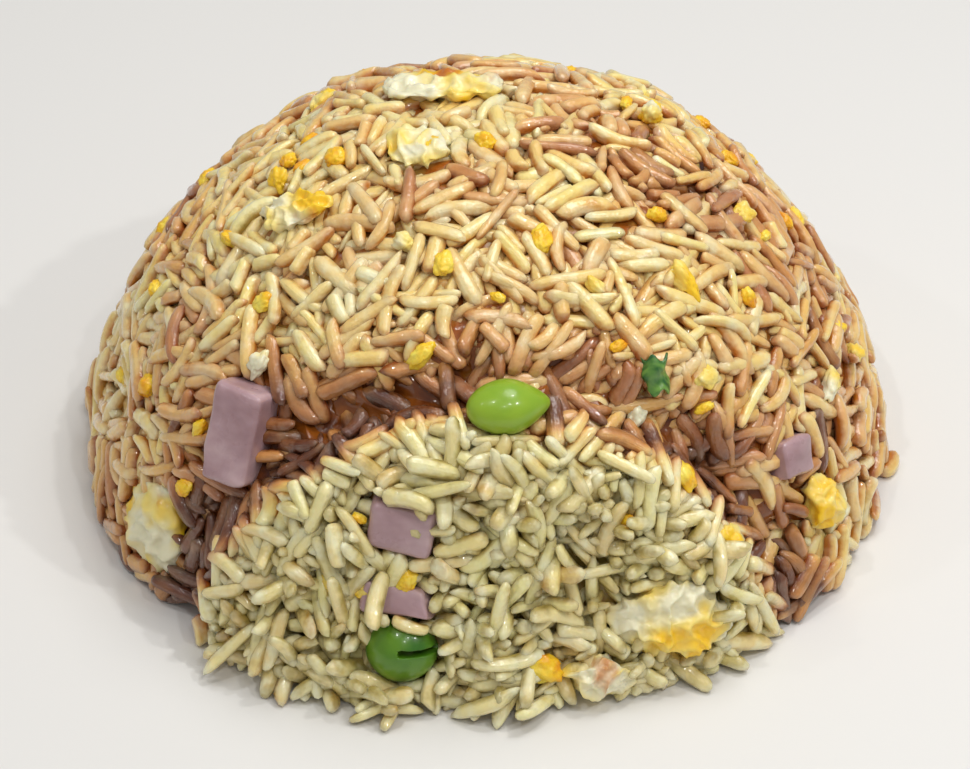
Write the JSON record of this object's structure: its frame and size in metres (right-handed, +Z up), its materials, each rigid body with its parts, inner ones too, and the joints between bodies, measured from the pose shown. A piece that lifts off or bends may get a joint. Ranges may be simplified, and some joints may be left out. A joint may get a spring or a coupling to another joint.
{
  "type": "fried rice mound",
  "caption": "Bowl-moulded mound of egg fried rice with soy glaze, egg pieces, diced ham and edamame, standing on its flat base.",
  "frame": {"origin": "middle of the flat base, on the surface that the mound stands on", "axes": "+Z up through the crown, -Y out of the broken pale face at the front, +X to the right seen from the front"},
  "size_m": [0.1244, 0.125, 0.061],
  "materials": {
    "rice": "cooked rice, moist and glossy, stained by soy sauce over the top and back",
    "bean": "boiled edamame bean, smooth and wet",
    "bean_dark": "boiled bean, darker green, smooth and wet",
    "ham": "cooked ham, mauve pink, moist",
    "egg": "fried egg, white and yolk, soft sheen",
    "sauce": "soy glaze, thin, dark brown and wet",
    "scallion": "fried scallion leaf"
  },
  "bodies": {
    "root": {"rice_mound": "rice", "edamame_ledge": "bean", "edamame_split": "bean_dark", "ham_left": "ham", "ham_front": "ham", "ham_low": "ham", "ham_right": "ham", "egg_front_right": "egg", "egg_front_low": "egg", "egg_left": "egg", "egg_right": "egg", "egg_crown": "egg", "egg_upper": "egg", "egg_shoulder": "egg"}
  },
  "joints": []
}
